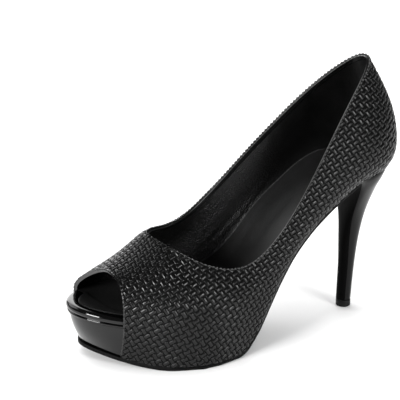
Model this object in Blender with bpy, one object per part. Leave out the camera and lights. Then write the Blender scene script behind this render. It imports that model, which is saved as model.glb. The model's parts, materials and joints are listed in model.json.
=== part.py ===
"""Peep-toe platform pump, left foot: upper, insole, toe lip, platform, outsole, heel and heel tip.

The shoe is worked out in millimetres on three directions: s runs from the heel's back towards
the toe, x is across the foot (plus is the outer side of this left shoe) and z is up from the
floor.  In the scene the toe points along -Y, the outer side along +X, and the origin lies on
the floor under the middle of the shoe's box.
"""

from collections import namedtuple
import math

import bmesh
import bpy
import numpy as np

MM = 0.001

# Driving sizes, mm
WALL = 1.8
FIT_GAP = 0.3
OUTSOLE = 2.2
OUTSOLE_SETBACK = 0.5
FOOTBED = 6.5
FOOTBED_DISH = 1.6
DISH_WIDTH = 50.0
PLATFORM_SETBACK = 1.4
PLATFORM_REAR_S = 99.0
LIP_DEPTH = 7.0
BREAST_S = 33.0
HEEL_TIP = 4.0
HEEL_TIP_CHAMFER = 0.4

# Ends of the sole's and the feather line's outlines, and of the topline and the vamp's ridge
SOLE_TOE = (202.3, -12.5)
SOLE_BACK = (3.6, 0.0)
FEATHER_TOE = (210.5, -8.5)
FEATHER_BACK = (-1.6, 0.0)
TOP_BACK = (17.5, 0.0, 156.7)
THROAT = (162.6, -4.4, 69.8)

# How much the vamp's arch tilts to the inner side at the peep toe, and how full the arch is: at
# the peep toe on the outer and the inner side, and the same at the throat
PEEP_TILT = 0.18
PEEP_FULLNESS = (0.70, 0.33)
VAMP_FULLNESS = (0.56, 0.30)
CLIMB_POWER = 1.4

# How far the quarters and the lower wall bow out of their chords
QUARTER_BOW = 0.36
LOWER_BOW = 0.37

# Side profile: underside of the sole, top of the footbed, and the widest line of the wall
Profile = namedtuple("Profile", "s under bed feather")
PROFILE = [
    Profile(0, 86.3, 95.0, 104.5),
    Profile(14, 86.2, 95.0, 104.5),
    Profile(28, 85.0, 94.5, 103.0),
    Profile(40, 80.6, 91.5, 99.5),
    Profile(50, 75.0, 86.5, 93.5),
    Profile(60, 69.0, 79.5, 86.5),
    Profile(72, 60.4, 70.5, 77.0),
    Profile(84, 49.3, 58.9, 66.0),
    Profile(92, 38.8, 49.2, 57.5),
    Profile(100, 26.5, 41.2, 49.5),
    Profile(108, 13.6, 35.6, 43.0),
    Profile(114, 6.3, 33.1, 39.5),
    Profile(119, 2.0, 31.8, 37.0),
    Profile(124, 0.0, 31.1, 35.3),
    Profile(140, 0.0, 30.6, 33.5),
    Profile(168, 0.0, 31.0, 33.0),
    Profile(180, 1.3, 31.6, 33.2),
    Profile(190, 3.4, 32.6, 34.0),
    Profile(200, 6.2, 34.0, 35.0),
    Profile(213, 10.6, 36.0, 36.5),
]

# Half widths of the plan outlines at each section, outer and inner side
Width = namedtuple("Width", "s lateral medial")
SOLE_WIDTHS = [
    Width(200, -3.8, -20.6),
    Width(195.2, 4.0, -27.8),
    Width(188.6, 12.8, -33.8),
    Width(180.2, 22.0, -38.0),
    Width(170, 30.6, -40.4),
    Width(156, 37.6, -41.0),
    Width(142, 40.3, -39.3),
    Width(128, 37.8, -35.3),
    Width(114, 34.8, -32.0),
    Width(100, 32.0, -29.3),
    Width(84, 28.5, -26.5),
    Width(66, 25.2, -24.0),
    Width(50, 23.3, -22.5),
    Width(34, 21.6, -21.2),
    Width(19, 17.8, -17.6),
    Width(8.8, 11.4, -11.4),
]
FEATHER_WIDTHS = [
    Width(208.2, 0.6, -17.4),
    Width(202.6, 8.8, -25.4),
    Width(196, 15.2, -31.4),
    Width(188.6, 20.6, -36.0),
    Width(180, 27.2, -39.2),
    Width(168, 34.6, -41.4),
    Width(154, 40.2, -42.0),
    Width(140, 41.8, -40.2),
    Width(126, 40.2, -36.6),
    Width(112, 36.9, -33.6),
    Width(98, 34.0, -31.5),
    Width(82, 32.1, -30.2),
    Width(66, 31.0, -29.6),
    Width(50, 30.0, -29.0),
    Width(34, 28.3, -27.8),
    Width(19.4, 24.9, -24.4),
    Width(8.8, 18.9, -18.5),
    Width(1.5, 10.7, -10.5),
]

# Topline from the throat to the back, on the outer and on the inner side
EdgePoint = namedtuple("EdgePoint", "s x z")
OUTER_TOPLINE = [
    EdgePoint(161.4, 3.3, 69.5),
    EdgePoint(159.5, 11.4, 68.5),
    EdgePoint(152.3, 25.4, 64.1),
    EdgePoint(139.8, 31.6, 57.8),
    EdgePoint(125.9, 33.2, 54.4),
    EdgePoint(112.7, 32.8, 56.3),
    EdgePoint(100.2, 32.0, 63.6),
    EdgePoint(88, 30.6, 75.2),
    EdgePoint(76, 28.6, 90.0),
    EdgePoint(64, 26.1, 106.4),
    EdgePoint(52, 22.8, 122.2),
    EdgePoint(40, 18.4, 135.8),
    EdgePoint(29, 13.8, 146.6),
    EdgePoint(22, 9.4, 153.2),
    EdgePoint(18.6, 4.9, 156.0),
]
INNER_TOPLINE = [
    EdgePoint(158.9, -10.2, 70.0),
    EdgePoint(147, -17.6, 67.6),
    EdgePoint(136, -21.9, 66.9),
    EdgePoint(124, -25.5, 69.6),
    EdgePoint(112, -28.0, 76.0),
    EdgePoint(100, -29.2, 84.3),
    EdgePoint(88, -29.3, 94.3),
    EdgePoint(76, -28.7, 104.8),
    EdgePoint(64, -27.3, 115.3),
    EdgePoint(52, -24.6, 126.6),
    EdgePoint(40, -20.2, 137.8),
    EdgePoint(29, -14.6, 147.4),
    EdgePoint(22, -9.8, 153.0),
    EdgePoint(18.6, -5.0, 155.9),
]

# Ridge of the vamp from the peep toe's top to the throat
RIDGE = [
    EdgePoint(189.0, -4.0, 54.3),
    EdgePoint(181.0, -4.2, 57.4),
    EdgePoint(172.0, -4.3, 62.0),
    EdgePoint(*THROAT),
]

# Stations where sole outline, feather line and top edge are matched, and the columns up to each
VAMP_COLUMNS = 7
SIDE_COLUMNS = 9
REAR_COLUMNS = 7
ARCH_FADE = 6
ARCH_COLUMNS = 14
SEAT_COLUMNS = 7
Station = namedtuple("Station", "columns sole feather top")
WING_EDGES = (Station(0, 189.0, 190.0, None), Station(0, 193.5, 196.0, None))
STATIONS = [
    Station(VAMP_COLUMNS, 163.0, 163.0, THROAT[0]),
    Station(SIDE_COLUMNS, 121.0, 121.0, 121.0),
    Station(REAR_COLUMNS, PLATFORM_REAR_S, 99.0, 99.0),
    Station(ARCH_COLUMNS, BREAST_S + FIT_GAP, 32.5, 41.0),
    Station(SEAT_COLUMNS, SOLE_BACK[0], FEATHER_BACK[0], TOP_BACK[0]),
]
REAR_INDEX = VAMP_COLUMNS + SIDE_COLUMNS + REAR_COLUMNS
BREAST_INDEX = REAR_INDEX + ARCH_COLUMNS
TOE_COLUMNS = 8
WING_GAP = 0.22
LOWER_ROWS = 4
UPPER_ROWS = 8
EDGE = 0.08
PLATFORM_LEVELS = (0.0, EDGE, 0.4, 0.7, 1.0)
INSOLE_LEVELS = (0.0, EDGE, 1.0)
CROSS_CELLS = 6
PROFILE_STEP = 0.25
LEVEL_SLOPE = 1e-6

# Heel sections from the seat down: back edge, breast edge, half width, and how square it is
HeelRow = namedtuple("HeelRow", "back_s back_z breast_s breast_z half_width front_share roundness")
HEEL_ROWS = [
    HeelRow(6.6, 84.6, 31.4, 80.5, 18.2, 0.15, 0.30),
    HeelRow(9.4, 80.5, 31.0, 74.5, 15.0, 0.18, 0.35),
    HeelRow(12.2, 73.0, 31.3, 67.5, 11.6, 0.22, 0.42),
    HeelRow(14.8, 66.5, 31.9, 61.5, 9.2, 0.28, 0.50),
    HeelRow(17.3, 59.5, 32.5, 55.5, 7.5, 0.33, 0.60),
    HeelRow(19.6, 51.0, 33.0, 48.5, 6.4, 0.40, 0.75),
    HeelRow(21.6, 41.0, 33.5, 40.0, 5.5, 0.45, 0.90),
    HeelRow(23.2, 30.0, 33.3, 30.0, 5.0, 0.50, 1.00),
    HeelRow(24.4, 18.0, 33.8, 18.0, 4.7, 0.50, 1.00),
    HeelRow(25.4, HEEL_TIP + FIT_GAP, 34.4, HEEL_TIP + FIT_GAP, 4.5, 0.50, 1.00),
]
HEEL_COLUMNS = 11
FINE_STEPS = 12
BREAST_CORNER = math.radians(70)

# Toe lip's section: depth behind the feather line and height below the footbed, from the
# inner bottom corner round the outside to the inner top corner
LipPoint = namedtuple("LipPoint", "depth below")
LIP_SECTION = [
    LipPoint(LIP_DEPTH, 6.5),
    LipPoint(1.3, 6.5),
    LipPoint(0.7, 6.0),
    LipPoint(0.7, 5.2),
    LipPoint(1.3, 4.7),
    LipPoint(0.4, 4.0),
    LipPoint(0.0, 2.8),
    LipPoint(0.3, 1.5),
    LipPoint(1.2, 0.5),
    LipPoint(2.6, 0.0),
    LipPoint(LIP_DEPTH, 0.2),
]

Finish = namedtuple("Finish", "colour roughness metallic")
FINISHES = {
    "upper": Finish((0.012, 0.012, 0.013), 0.45, 0.0),
    "insole": Finish((0.020, 0.020, 0.021), 0.55, 0.0),
    "toe_lip": Finish((0.006, 0.006, 0.006), 0.08, 0.0),
    "platform": Finish((0.008, 0.008, 0.008), 0.10, 0.0),
    "outsole": Finish((0.010, 0.010, 0.010), 0.60, 0.0),
    "heel": Finish((0.006, 0.006, 0.006), 0.12, 0.0),
    "heel_tip": Finish((0.015, 0.015, 0.015), 0.70, 0.0),
}


def clear_scene():
    """Removes every object of the open file."""
    for obj in list(bpy.data.objects):
        bpy.data.objects.remove(obj, do_unlink=True)


def smooth_height(rows, field):
    """Gives a function of s through a table's column, level where two rows are level."""
    place = np.array([row.s for row in rows], float)
    value = np.array([getattr(row, field) for row in rows], float)
    step = np.diff(place)
    slope = np.diff(value) / step
    tangent = np.zeros_like(value)
    for i in range(1, len(value) - 1):
        if slope[i - 1] * slope[i] > 0:
            before = 2 * step[i] + step[i - 1]
            after = step[i] + 2 * step[i - 1]
            tangent[i] = (before + after) / (before / slope[i - 1] + after / slope[i])
    tangent[0], tangent[-1] = slope[0], slope[-1]

    def height(s):
        s = np.clip(np.asarray(s, float), place[0], place[-1])
        i = np.clip(np.searchsorted(place, s) - 1, 0, len(step) - 1)
        t = (s - place[i]) / step[i]
        rise = value[i] * (2 * t**3 - 3 * t**2 + 1) + value[i + 1] * (3 * t**2 - 2 * t**3)
        lean = tangent[i] * (t**3 - 2 * t**2 + t) + tangent[i + 1] * (t**3 - t**2)
        return rise + lean * step[i]

    return height


def spline(points, closed, per_span=24):
    """Samples a cubic spline through points, evenly in each span."""
    points = np.asarray(points, float)
    if closed:
        points = np.vstack([points, points[:1]])
    chord = np.linalg.norm(np.diff(points, axis=0), axis=1)
    knots = len(points)
    system = np.zeros((knots, knots))
    target = np.zeros_like(points)
    slope = np.diff(points, axis=0) / chord[:, None]
    for i in range(1, knots - 1):
        system[i, i - 1:i + 2] = chord[i], 2 * (chord[i - 1] + chord[i]), chord[i - 1]
        target[i] = 3 * (chord[i] * slope[i - 1] + chord[i - 1] * slope[i])
    if closed:
        system[0, [0, 1, -2]] = 2 * (chord[-1] + chord[0]), chord[-1], chord[0]
        target[0] = 3 * (chord[0] * slope[-1] + chord[-1] * slope[0])
        system[-1, [0, -1]] = 1, -1
    else:
        system[0, :2] = 2, 1
        target[0] = 3 * slope[0]
        system[-1, -2:] = 1, 2
        target[-1] = 3 * slope[-1]
    tangent = np.linalg.solve(system, target)
    samples = []
    for i in range(knots - 1):
        t = np.linspace(0, 1, per_span, endpoint=False)[:, None]
        run = chord[i]
        samples.append(
            points[i] * (2 * t**3 - 3 * t**2 + 1) + points[i + 1] * (3 * t**2 - 2 * t**3)
            + run * tangent[i] * (t**3 - 2 * t**2 + t) + run * tangent[i + 1] * (t**3 - t**2)
        )
    if not closed:
        samples.append(points[-1:])
    return np.vstack(samples)


def halves(loop):
    """Cuts a closed curve at its toe and back ends into an outer and an inner half.

    The curve starts at its toe end and runs down the outer side.  Both halves run from the toe
    end to the back end.
    """
    back = int(np.argmin(loop[:, 0]))
    lateral = loop[:back + 1]
    medial = np.vstack([loop[:1], loop[:back - 1:-1]])
    return lateral, medial


def stretch(curve, start, end, count):
    """Gives count + 1 points, evenly spaced, of the part of a curve between two values of s."""
    run = np.concatenate([[0], np.cumsum(np.linalg.norm(np.diff(curve, axis=0), axis=1))])
    falling = np.minimum.accumulate(curve[:, 0]) - LEVEL_SLOPE * run
    ends = np.interp([-start, -end], -falling, run)
    places = np.linspace(ends[0], ends[1], count + 1)
    return np.stack([np.interp(places, run, curve[:, k]) for k in range(curve.shape[1])], axis=1)


UNDER = smooth_height(PROFILE, "under")
BED = smooth_height(PROFILE, "bed")
FEATHER_Z = smooth_height(PROFILE, "feather")


def layer_height(s, thickness):
    """Gives the height at s of a layer of the sole, measured square to the underside."""
    place = np.arange(PROFILE[0].s, PROFILE[-1].s + PROFILE_STEP, PROFILE_STEP)
    height = UNDER(place)
    slope = np.gradient(height, place)
    length = np.sqrt(1 + slope**2)
    return np.interp(s, place - thickness * slope / length, height + thickness / length)


def plan_outline(widths, toe, back):
    """Gives the outer and inner halves of a plan outline from its table of half widths."""
    points = [toe]
    points += [(row.s, row.lateral) for row in widths]
    points.append(back)
    points += [(row.s, row.medial) for row in reversed(widths)]
    return halves(spline(points, closed=True))


def topline_halves():
    """Gives the outer and inner halves of the collar's edge, from the throat to the back."""
    points = [THROAT, *OUTER_TOPLINE, TOP_BACK, *reversed(INNER_TOPLINE)]
    return halves(spline(points, closed=True))


def unit(vector):
    """Scales a vector to length one."""
    return vector / np.linalg.norm(vector)


def bezier(start, leave, arrive, end, rows):
    """Samples a cubic Bezier curve at rows + 1 points."""
    t = np.linspace(0, 1, rows + 1)[:, None]
    return (1 - t)**3 * start + 3 * t * (1 - t)**2 * leave + 3 * t**2 * (1 - t) * arrive + t**3 * end


UP = np.array([0.0, 0.0, 1.0])


def lower_wall(sole, feather):
    """Draws the wall's section from the sole up to its widest line."""
    span = feather - sole
    chord = unit(span)
    leave = unit(2 * chord[2] * chord - UP)
    reach = LOWER_BOW * np.linalg.norm(span)
    return bezier(sole, sole + reach * leave, feather - reach * UP, feather, LOWER_ROWS)


def upper_wall(feather, top, arch, tilt, fullness):
    """Draws the wall's section from its widest line to the topline or the vamp's ridge.

    arch is 1 on the vamp, where the section ends level on the ridge, and 0 along the quarters.
    A section that stops short of the ridge's line ends as steep as the vamp is there.  fullness
    says how square the vamp's arch is.
    """
    span = top - feather
    chord = unit(span)
    bow = unit(chord + unit(2 * chord[2] * chord - UP))
    inward = 1.0 if span[1] > 0 else -1.0
    kept = min(1.0, span[1] / (THROAT[1] - feather[1]))
    climb = math.pi / 2 * (1 - kept)**CLIMB_POWER
    level = unit(np.array([0.0, inward * math.cos(climb), math.sin(climb) + tilt * inward]))
    vamp_rise = fullness * abs(span[2]) * kept
    vamp_reach = fullness * abs(span[1])
    quarter_rise = QUARTER_BOW * np.linalg.norm(span)
    leave = feather + UP * (arch * vamp_rise + (1 - arch) * quarter_rise)
    heading = unit(arch * vamp_reach * level + (1 - arch) * quarter_rise * bow)
    arrive = top - heading * (arch * vamp_reach + (1 - arch) * quarter_rise)
    return bezier(feather, leave, arrive, top, UPPER_ROWS)


class Last:
    """The shoe's outer surface as columns of points that run from the sole to the top edge.

    columns holds the upper's two sides from the peep toe to the back, toe the two sides of the
    bare front, from the toe's end to just before the upper's edge, and lip its upper line.
    """

    def __init__(self):
        soles = plan_outline(SOLE_WIDTHS, SOLE_TOE, SOLE_BACK)
        feathers = plan_outline(FEATHER_WIDTHS, FEATHER_TOE, FEATHER_BACK)
        tops = topline_halves()
        ridge = spline(RIDGE, closed=False)
        self.soles = soles
        self.columns = []
        self.toe = []
        self.lip = []
        for side, wing in enumerate(WING_EDGES):
            stations = [wing] + STATIONS
            matched = self.match(stations, soles[side], feathers[side], tops[side], ridge)
            self.columns.append(self.draw(*matched, PEEP_FULLNESS[side], VAMP_FULLNESS[side]))
            sole = stretch(soles[side], SOLE_TOE[0], wing.sole + WING_GAP, TOE_COLUMNS)
            feather = stretch(feathers[side], FEATHER_TOE[0], wing.feather + WING_GAP, TOE_COLUMNS)
            sole, feather = self.heights(sole, feather)
            self.toe.append(np.array([lower_wall(low, high) for low, high in zip(sole, feather)]))
            lip_end = wing.feather + 2 * WING_GAP
            self.lip.append(stretch(feathers[side], FEATHER_TOE[0], lip_end, TOE_COLUMNS))

    @staticmethod
    def match(stations, sole_half, feather_half, top_half, ridge):
        """Pairs points of the sole outline, the feather line and the top edge of one side."""
        sole, feather, top = [], [], []
        for before, after in zip(stations, stations[1:]):
            first = 1 if sole else 0
            count = after.columns
            sole.append(stretch(sole_half, before.sole, after.sole, count)[first:])
            feather.append(stretch(feather_half, before.feather, after.feather, count)[first:])
            if before.top is None:
                top.append(stretch(ridge, RIDGE[0].s, THROAT[0], count)[first:])
            else:
                top.append(stretch(top_half, before.top, after.top, count)[first:])
        return np.vstack(sole), np.vstack(feather), np.vstack(top)

    @staticmethod
    def heights(sole, feather):
        """Raises the sole outline onto the outsole and the feather line to its height."""
        sole = np.column_stack([sole, layer_height(sole[:, 0], OUTSOLE + FIT_GAP)])
        feather = np.column_stack([feather, FEATHER_Z(feather[:, 0])])
        return sole, feather

    def draw(self, sole, feather, top, peep_fullness, vamp_fullness):
        """Draws the columns of one side of the upper, each from the sole to the top edge."""
        sole, feather = self.heights(sole, feather)
        columns = []
        for j in range(len(sole)):
            t = np.clip((j - VAMP_COLUMNS) / ARCH_FADE, 0, 1)
            arch = 1 - t * t * (3 - 2 * t)
            near_peep = max(0.0, 1 - j / VAMP_COLUMNS)
            fullness = vamp_fullness + near_peep * (peep_fullness - vamp_fullness)
            low = lower_wall(sole[j], feather[j])
            high = upper_wall(feather[j], top[j], arch, PEEP_TILT * near_peep, fullness)
            columns.append(np.vstack([low, high[1:]]))
        return np.array(columns)

    def inward(self):
        """Gives the plan directions that point into the shoe, at every column of both sides."""
        sides = [np.vstack([self.toe[k][:, -1, :2], self.columns[k][:, LOWER_ROWS, :2]]) for k in (0, 1)]
        loop = np.vstack([sides[0], sides[1][-2:0:-1]])
        ahead = np.roll(loop, -1, axis=0) - np.roll(loop, 1, axis=0)
        ahead /= np.linalg.norm(ahead, axis=1)[:, None]
        turned = np.column_stack([-ahead[:, 1], ahead[:, 0]])
        count = len(sides[0])
        return turned[:count], np.vstack([turned[:1], turned[:count - 2:-1]])


def at_height(column, height):
    """Gives the point of a column where it meets a height that is a function of s.

    Under the column's lower end the point stays in plan at that end.
    """
    rising = np.maximum.accumulate(column[:, 2])
    point = column[0].copy()
    for _ in range(4):
        z = float(height(point[0]))
        if z <= rising[0]:
            point = np.array([column[0, 0], column[0, 1], z])
            continue
        i = max(1, int(np.argmax(rising >= z)))
        t = (z - column[i - 1, 2]) / (column[i, 2] - column[i - 1, 2])
        point = column[i - 1] + t * (column[i] - column[i - 1])
    return point


def shifted(point, direction, distance):
    """Moves a point in plan."""
    moved = point.copy()
    moved[:2] += direction * distance
    return moved


def world(point):
    """Turns a point (s, x, z) in millimetres into the scene's axes in metres."""
    return (point[1] * MM, -point[0] * MM, point[2] * MM)


def design(co):
    """Turns a point of the scene back into (s, x, z) in millimetres."""
    return np.array([-co.y / MM, co.x / MM, co.z / MM])


def finish_mesh(name, mesh_data, sharp_angle):
    """Turns a bmesh into a named object with its own material."""
    bmesh.ops.recalc_face_normals(mesh_data, faces=mesh_data.faces)
    mesh = bpy.data.meshes.new(name)
    mesh_data.to_mesh(mesh)
    mesh_data.free()
    mesh.shade_smooth()
    mesh.set_sharp_from_angle(angle=math.radians(sharp_angle))
    finish = FINISHES[name]
    material = bpy.data.materials.new(name)
    material.use_nodes = True
    shader = material.node_tree.nodes["Principled BSDF"]
    shader.inputs["Base Color"].default_value = (*finish.colour, 1.0)
    shader.inputs["Roughness"].default_value = finish.roughness
    shader.inputs["Metallic"].default_value = finish.metallic
    mesh.materials.append(material)
    obj = bpy.data.objects.new(name, mesh)
    bpy.context.collection.objects.link(obj)
    return obj


def straight_end(lateral, medial):
    """Gives the points of a straight edge across the shoe, between its two ends."""
    shares = np.linspace(0, 1, CROSS_CELLS + 1)[1:-1, None]
    return lateral[-1] + (medial[-1] - lateral[-1]) * shares


Ring = namedtuple("Ring", "lateral medial end")


def stacked_solid(name, rings, top_dish=0.0, sharp_angle=40):
    """Builds a solid from closed rings, one above the other, with a filled top and bottom.

    A ring has an outer and an inner side that start at one shared nose point.  end holds the
    points that close it across the shoe, or is None where both sides end at one point.
    """
    mesh = bmesh.new()
    loops = []
    for ring in rings:
        points = list(ring.lateral)
        if ring.end is None:
            points += list(ring.medial[-2:0:-1])
        else:
            points += list(ring.end) + list(ring.medial[:0:-1])
        loops.append([mesh.verts.new(world(point)) for point in points])
    size = len(loops[0])
    for low, high in zip(loops, loops[1:]):
        for k in range(size):
            after = (k + 1) % size
            mesh.faces.new((low[k], low[after], high[after], high[k]))
    fill_ring(mesh, loops[0], rings[0], 0.0)
    fill_ring(mesh, loops[-1], rings[-1], top_dish)
    return finish_mesh(name, mesh, sharp_angle)


def fill_ring(mesh, loop, ring, dish):
    """Fills a ring with rows of faces across the shoe, lower in the middle by dish."""
    last = len(ring.lateral) - 1
    rows = [[loop[0]]]
    for j in range(1, last):
        start, across = ring.lateral[j], ring.medial[j] - ring.lateral[j]
        depth = dish * min(1.0, np.linalg.norm(across) / DISH_WIDTH)
        row = [loop[j]]
        for k in range(1, CROSS_CELLS):
            t = k / CROSS_CELLS
            row.append(mesh.verts.new(world(start + across * t - UP * depth * 4 * t * (1 - t))))
        row.append(loop[-j])
        rows.append(row)
    rows.append([loop[last]] if ring.end is None else loop[last:last + CROSS_CELLS + 1])
    for near, far in zip(rows, rows[1:]):
        for k in range(CROSS_CELLS):
            corners = [near[min(k, len(near) - 1)], near[min(k + 1, len(near) - 1)]]
            corners += [far[min(k + 1, len(far) - 1)], far[min(k, len(far) - 1)]]
            mesh.faces.new(list(dict.fromkeys(corners)))


def build_upper(last):
    """Lofts the upper's outer surface, offsets it by the wall and joins both at the edges.

    Returns the inner surface's columns for each side.
    """
    mesh = bmesh.new()
    grid = []
    for side, columns in enumerate(last.columns):
        lines = []
        for j, column in enumerate(columns):
            if side == 1 and j == len(columns) - 1:
                lines.append(grid[0][-1])
                continue
            line = [mesh.verts.new(world(point)) for point in column[:-1]]
            on_ridge = side == 1 and j <= VAMP_COLUMNS
            line.append(grid[0][j][-1] if on_ridge else mesh.verts.new(world(column[-1])))
            lines.append(line)
        grid.append(lines)
    outer_faces = []
    for side, lines in enumerate(grid):
        for near, far in zip(lines, lines[1:]):
            for k in range(LOWER_ROWS + UPPER_ROWS):
                corners = (near[k], far[k], far[k + 1], near[k + 1])
                outer_faces.append(mesh.faces.new(corners[::-1] if side else corners))
    mesh.normal_update()
    border = [edge for edge in mesh.edges if edge.is_boundary]
    inner = {}
    for vert in list(mesh.verts):
        inner[vert] = mesh.verts.new(vert.co - vert.normal * WALL * MM * vert.calc_shell_factor())
    for face in outer_faces:
        mesh.faces.new([inner[vert] for vert in reversed(face.verts)])
    for edge in border:
        start, end = edge.verts
        mesh.faces.new((start, end, inner[end], inner[start]))
    inside = [np.array([[design(inner[vert].co) for vert in line] for line in lines]) for lines in grid]
    finish_mesh("upper", mesh, 50)
    return inside


def build_outsole(last):
    """Makes the thin outsole from the toe up the arch to the heel's breast."""
    rings = []
    for height in (UNDER, lambda s: layer_height(s, OUTSOLE)):
        sides = []
        for side, inward in enumerate(last.inward()):
            plan = np.vstack([last.toe[side][:, 0], last.columns[side][:BREAST_INDEX + 1, 0]])
            moved = np.array([shifted(p, d, OUTSOLE_SETBACK) for p, d in zip(plan, inward)])
            moved[:, 2] = height(moved[:, 0])
            sides.append(moved)
        rings.append(Ring(*sides, straight_end(*sides)))
    stacked_solid("outsole", rings)


def on_sole(s):
    """Gives the height of what rests on the outsole or on the heel's seat."""
    return layer_height(s, OUTSOLE + FIT_GAP)


def on_platform(s):
    """Gives the height of the footbed's underside over the platform."""
    return BED(s) - FOOTBED


def platform_top(s):
    """Gives the height of the platform's top, under the footbed."""
    return on_platform(s) - FIT_GAP


def wall_point(column, base, top, share):
    """Gives a column's point at a share of the height between two levels.

    At the share EDGE the point lies no lower than the column's own end, so that what is inside
    the upper stands upright past that end before it follows the wall.
    """
    def height(s):
        z = base(s) + share * (top(s) - base(s))
        return max(z, column[0, 2]) if share == EDGE else z

    return at_height(column, height)


def build_platform(last, inside):
    """Makes the platform, bare at the toe and inside the upper behind the upper's edges."""
    rings = []
    for share in PLATFORM_LEVELS:
        sides = []
        for side, inward in enumerate(last.inward()):
            points = []
            for column, direction in zip(last.toe[side], inward):
                point = wall_point(column, on_sole, platform_top, share)
                points.append(shifted(point, direction, PLATFORM_SETBACK))
            behind = inside[side][:REAR_INDEX + 1]
            for column, direction in zip(behind, inward[len(points):]):
                point = wall_point(column, on_sole, platform_top, share)
                points.append(shifted(point, direction, FIT_GAP))
            sides.append(np.array(points))
        rings.append(Ring(*sides, straight_end(*sides)))
    stacked_solid("platform", rings)


def build_insole(last, inside):
    """Makes the insole: on the platform, then on the outsole and on the heel's seat."""
    rings = []
    for share in INSOLE_LEVELS:
        sides = []
        for side, inward in enumerate(last.inward()):
            points = []
            for column, direction in zip(last.toe[side], inward):
                point = shifted(column[-1], direction, LIP_DEPTH + FIT_GAP)
                point[2] = BED(point[0]) - FOOTBED * (1 - share)
                points.append(point)
            for j, column in enumerate(inside[side]):
                base = on_platform if j <= REAR_INDEX else on_sole
                point = wall_point(column, base, BED, share)
                points.append(shifted(point, inward[len(points)], FIT_GAP))
            sides.append(np.array(points))
        rings.append(Ring(*sides, None))
    stacked_solid("insole", rings, top_dish=FOOTBED_DISH)


def build_toe_lip(last):
    """Sweeps the rolled lip round the footbed's front edge, between the upper's two edges."""
    lateral, medial = (turns[:TOE_COLUMNS + 1] for turns in last.inward())
    places = np.vstack([last.lip[0][::-1], last.lip[1][1:]])
    inward = np.vstack([lateral[::-1], medial[1:]])
    mesh = bmesh.new()
    sections = []
    for place, direction in zip(places, inward):
        section = []
        for corner in LIP_SECTION:
            plan = place + direction * corner.depth
            section.append(mesh.verts.new(world((*plan, BED(plan[0]) - corner.below))))
        sections.append(section)
    size = len(LIP_SECTION)
    for near, far in zip(sections, sections[1:]):
        for k in range(size):
            after = (k + 1) % size
            mesh.faces.new((near[k], near[after], far[after], far[k]))
    mesh.faces.new(sections[0])
    mesh.faces.new(sections[-1])
    finish_mesh("toe_lip", mesh, 50)


def heel_ring(row, inset=0.0, level=None):
    """Draws a section of the heel: round at the back and flatter across the breast."""
    depth = row.breast_s - row.back_s
    front = depth * row.front_share
    middle = row.breast_s - front

    def point(angle):
        ahead = math.cos(angle)
        reach = (front - inset) * ahead**row.roundness if ahead > 0 else (depth - front - inset) * ahead
        s = middle + reach
        share = (s - row.back_s) / depth
        z = row.back_z + (row.breast_z - row.back_z) * share if level is None else level
        return np.array([s, (row.half_width - inset) * math.sin(angle), z])

    def spaced(start, end, count):
        fine = np.array([point(angle) for angle in np.linspace(start, end, FINE_STEPS * count + 1)])
        run = np.concatenate([[0], np.cumsum(np.linalg.norm(np.diff(fine, axis=0), axis=1))])
        places = np.linspace(0, run[-1], count + 1)
        return np.stack([np.interp(places, run, fine[:, k]) for k in range(3)], axis=1)

    lateral = spaced(math.pi, BREAST_CORNER, HEEL_COLUMNS)
    medial = lateral * (1, -1, 1)
    breast = spaced(BREAST_CORNER, -BREAST_CORNER, CROSS_CELLS)
    return Ring(lateral, medial, breast[1:-1])


def build_heel(last):
    """Lofts the slender heel from its seat under the upper down to the tip."""
    sides = []
    for half in last.soles:
        plan = stretch(half, BREAST_S, SOLE_BACK[0], HEEL_COLUMNS)[::-1]
        sides.append(np.column_stack([plan, layer_height(plan[:, 0], OUTSOLE)]))
    seat = Ring(*sides, straight_end(*sides))
    stacked_solid("heel", [heel_ring(row) for row in reversed(HEEL_ROWS)] + [seat])


def build_heel_tip():
    """Makes the heel's tip with a small chamfer round its floor face."""
    row = HEEL_ROWS[-1]
    rings = [
        heel_ring(row, inset=HEEL_TIP_CHAMFER, level=0.0),
        heel_ring(row, level=HEEL_TIP_CHAMFER),
        heel_ring(row, level=HEEL_TIP),
    ]
    stacked_solid("heel_tip", rings)


def stand_on_origin():
    """Hangs every piece on one empty that puts the origin on the floor under the box's middle."""
    pieces = [obj for obj in bpy.data.objects if obj.type == "MESH"]
    corners = np.array([vert.co for obj in pieces for vert in obj.data.vertices])
    low, high = corners.min(axis=0), corners.max(axis=0)
    shoe = bpy.data.objects.new("shoe", None)
    bpy.context.collection.objects.link(shoe)
    shoe.location = (-(low[0] + high[0]) / 2, -(low[1] + high[1]) / 2, -low[2])
    for obj in pieces:
        obj.parent = shoe


def main():
    """Builds the shoe piece by piece."""
    clear_scene()
    last = Last()
    inside = build_upper(last)
    build_insole(last, inside)
    build_toe_lip(last)
    build_platform(last, inside)
    build_outsole(last)
    build_heel(last)
    build_heel_tip()
    stand_on_origin()


if __name__ == "__main__":
    main()
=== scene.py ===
"""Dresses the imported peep-toe platform pump: woven leather, patent toe, lacquered heel.

Each sub-assembly copies its solids, welds and rounds them, and adds what the solids leave out:
the weave of the upper, its folded edges, the lining's creases and the insole's turned edge.
Lengths are in millimetres and turned to metres by MM where a mesh is made.
"""

import json
import logging
import math
from dataclasses import dataclass, field
from enum import Enum
from typing import Any

import bmesh
import bpy
import numpy as np
from bmesh.types import BMEdge, BMVert, BMesh
from bpy.types import ID, Material, Mesh, Node, NodeSocket, NodeTree, Object
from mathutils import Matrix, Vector
from mathutils.bvhtree import BVHTree

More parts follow.
